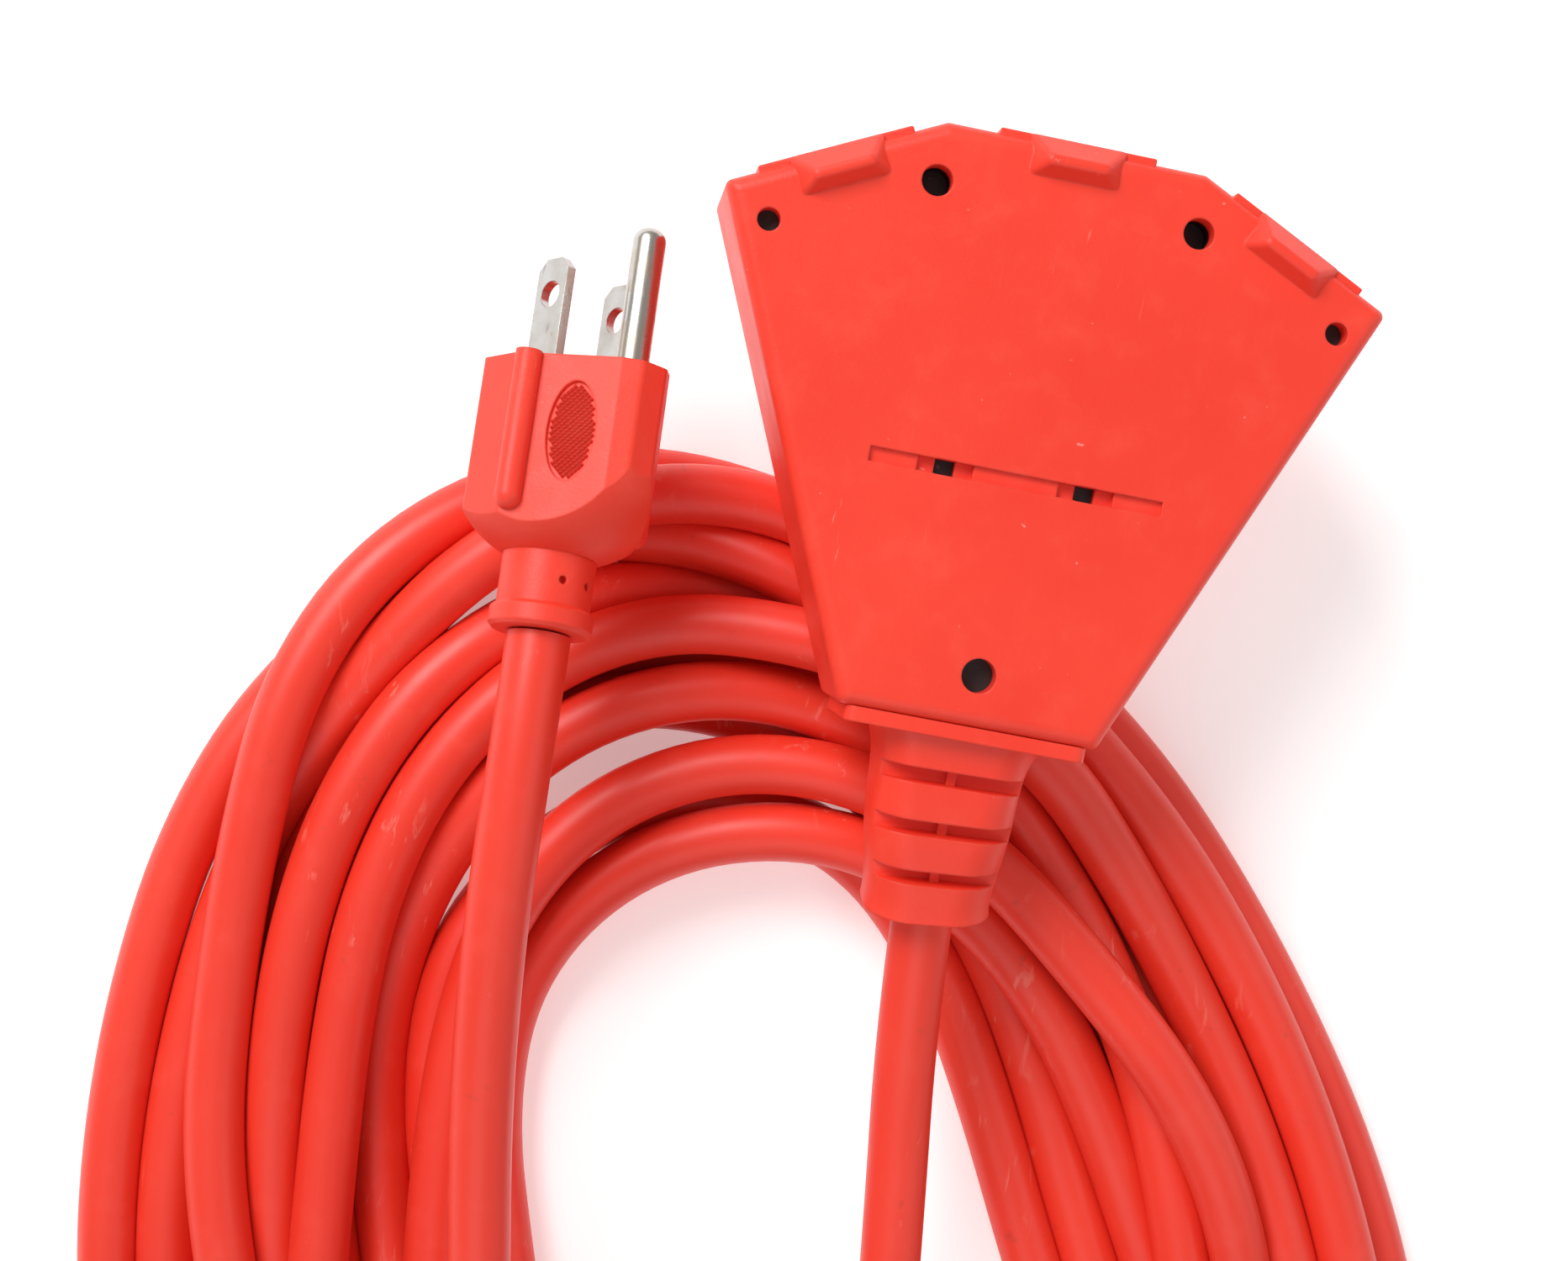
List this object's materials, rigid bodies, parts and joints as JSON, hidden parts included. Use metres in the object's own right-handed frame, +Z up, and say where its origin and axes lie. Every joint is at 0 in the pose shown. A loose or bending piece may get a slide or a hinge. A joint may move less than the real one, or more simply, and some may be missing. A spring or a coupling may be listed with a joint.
{
  "type": "three-outlet extension cord",
  "caption": "Outdoor grounded extension cord with a fan-shaped outlet block, ribbed strain relief, coiled round cord and moulded plug.",
  "frame": {"origin": "mouth of the centre outlet's ground bore, on the outlet face", "axes": "+Y out of the centre outlet along the block's axis, +Z up out of the block's flat back, +X across the fan; the coil and the plug lie on the floor under and beside the block"},
  "size_m": [0.2283, 0.3511, 0.0563],
  "materials": {
    "red_overmould": "fine moulded grain, soft PVC",
    "red_jacket": "satin extruded PVC jacket",
    "black_core": "hard moulded core",
    "contact_brass": "stamped sheet",
    "plated_blades": "nickel plated brass",
    "black_insulation": "PVC insulation",
    "white_insulation": "PVC insulation",
    "green_insulation": "PVC insulation"
  },
  "bodies": {
    "root": {"outlet_overmould": "red_overmould", "outlet_strain_relief": "red_overmould", "core_front_half": "black_core", "core_rear_half": "black_core", "line_bus_strip": "contact_brass", "neutral_bus_strip": "contact_brass", "ground_bus_strip": "contact_brass", "line_contact_left": "contact_brass", "neutral_contact_left": "contact_brass", "ground_contact_left": "contact_brass", "line_contact_centre": "contact_brass", "neutral_contact_centre": "contact_brass", "ground_contact_centre": "contact_brass", "line_contact_right": "contact_brass", "neutral_contact_right": "contact_brass", "ground_contact_right": "contact_brass", "line_crimp": "contact_brass", "neutral_crimp": "contact_brass", "ground_crimp": "contact_brass", "line_plug_crimp": "contact_brass", "neutral_plug_crimp": "contact_brass", "ground_plug_crimp": "contact_brass", "line_wire_outlet_end": "black_insulation", "line_wire_plug_end": "black_insulation", "neutral_wire_outlet_end": "white_insulation", "neutral_wire_plug_end": "white_insulation", "ground_wire_outlet_end": "green_insulation", "ground_wire_plug_end": "green_insulation", "fan_lead": "red_jacket", "cord_coil": "red_jacket", "plug_lead": "red_jacket", "plug_overmould": "red_overmould", "plug_strain_relief": "red_overmould", "plug_bridge": "black_core", "line_blade": "plated_blades", "neutral_blade": "plated_blades", "ground_pin": "plated_blades"}
  },
  "joints": []
}
